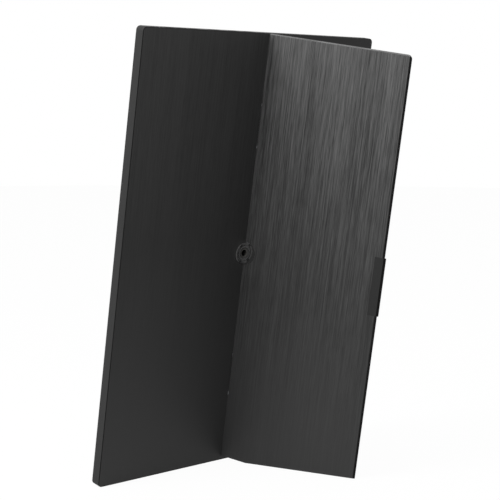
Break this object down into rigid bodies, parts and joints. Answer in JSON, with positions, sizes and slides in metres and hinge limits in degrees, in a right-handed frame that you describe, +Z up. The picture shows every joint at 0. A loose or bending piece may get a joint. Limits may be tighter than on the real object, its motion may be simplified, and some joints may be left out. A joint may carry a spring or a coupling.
{
  "type": "portable monitor with hinged kickstand",
  "caption": "Slim portable monitor standing on its short side, held up by a full-height metal kickstand flap that hinges on its back, with side ports, keys and a tripod socket.",
  "frame": {"origin": "the point on the floor under the middle of the standing object's box", "axes": "+Z up along the standing height, +Y from the screen towards the back, +X towards the plain half of the back, to the left when seen from the back"},
  "size_m": [0.2484, 0.1806, 0.3565],
  "materials": {
    "bezel": "fine matt, black",
    "case_metal": "satin bead-blasted, dark grey",
    "brushed_back": "brushed along the long side, anodised charcoal",
    "brushed_flap": "brushed along the long side, anodised grey, with bright bevels",
    "liner_plastic": "fine matt, black",
    "soft_rubber": "matt black",
    "screen": "black screen with a soft anti-glare sheen",
    "gasket_foam": "black closed foam",
    "clear_film": "translucent film",
    "white_film": "white film",
    "frame_plastic": "white matt",
    "tray_steel": "plain rolled",
    "board": "green solder mask",
    "flex_film": "amber film",
    "chip": "matt black",
    "led_body": "pale yellow",
    "shield": "tinned sheet",
    "pad_silicone": "soft grey-blue pad",
    "insulator": "black film",
    "port_shell": "nickel-plated shell",
    "switch_plastic": "pale grey",
    "light_guide_clear": "clear",
    "spine_steel": "zinc-plated sheet",
    "hinge_steel": "satin steel",
    "pad_bronze": "sintered bronze",
    "insert_brass": "turned brass, darkened",
    "collar_plastic": "black with a soft sheen",
    "screw_steel": "plain steel",
    "key_plastic": "matt black",
    "plunger_plastic": "red nylon"
  },
  "bodies": {
    "monitor": {"front_bezel": "bezel", "rear_cover": "case_metal", "back_panel": "brushed_back", "display_gasket": "gasket_foam", "display_cell": "screen", "prism_sheet": "clear_film", "diffuser_sheet": "white_film", "light_guide": "light_guide_clear", "reflector_sheet": "white_film", "led_strip": "switch_plastic", "leds": "led_body", "panel_frame": "frame_plastic", "panel_tray": "tray_steel", "driver_board": "board", "driver_flexes": "flex_film", "display_cable": "flex_film", "main_board": "board", "board_chips": "chip", "shield_can": "shield", "thermal_pad": "pad_silicone", "insulation_sheet": "insulator", "usb_c_ports": "port_shell", "video_port": "port_shell", "switch_bodies": "switch_plastic", "light_pipe": "light_guide_clear", "spine_plate": "spine_steel", "lower_hinge_track": "hinge_steel", "upper_hinge_track": "hinge_steel", "friction_pads": "pad_bronze", "tripod_insert": "insert_brass", "tripod_collar": "collar_plastic", "spine_screws": "screw_steel", "track_screws": "screw_steel", "board_screws": "screw_steel", "edge_feet": "soft_rubber"},
    "kickstand": {"kickstand_skin": "brushed_flap", "kickstand_liner": "liner_plastic", "kickstand_foot": "soft_rubber", "lower_hinge_arm": "hinge_steel", "upper_hinge_arm": "hinge_steel", "arm_screws": "screw_steel"},
    "power_key": {"power_button": "key_plastic", "power_plunger": "plunger_plastic"},
    "menu_key": {"menu_button": "key_plastic", "menu_plunger": "plunger_plastic"},
    "select_key": {"select_button": "key_plastic", "select_plunger": "plunger_plastic"}
  },
  "joints": [
    {"name": "kickstand_hinge", "type": "hinge", "parent": "monitor", "child": "kickstand", "pos_m": [-0.00175, -0.05203, 0.17743], "axis": [0, -0.1633, -0.9866], "range_deg": [-70.5, 39.5]},
    {"name": "power_press", "type": "slide", "parent": "monitor", "child": "power_key", "axis": [0, 0.1633, 0.9866], "range_m": [-0.0003, 0], "stiffness_N_per_m": 600},
    {"name": "menu_press", "type": "slide", "parent": "monitor", "child": "menu_key", "axis": [0, 0.1633, 0.9866], "range_m": [-0.0003, 0], "stiffness_N_per_m": 600},
    {"name": "select_press", "type": "slide", "parent": "monitor", "child": "select_key", "axis": [0, 0.1633, 0.9866], "range_m": [-0.0003, 0], "stiffness_N_per_m": 600}
  ]
}
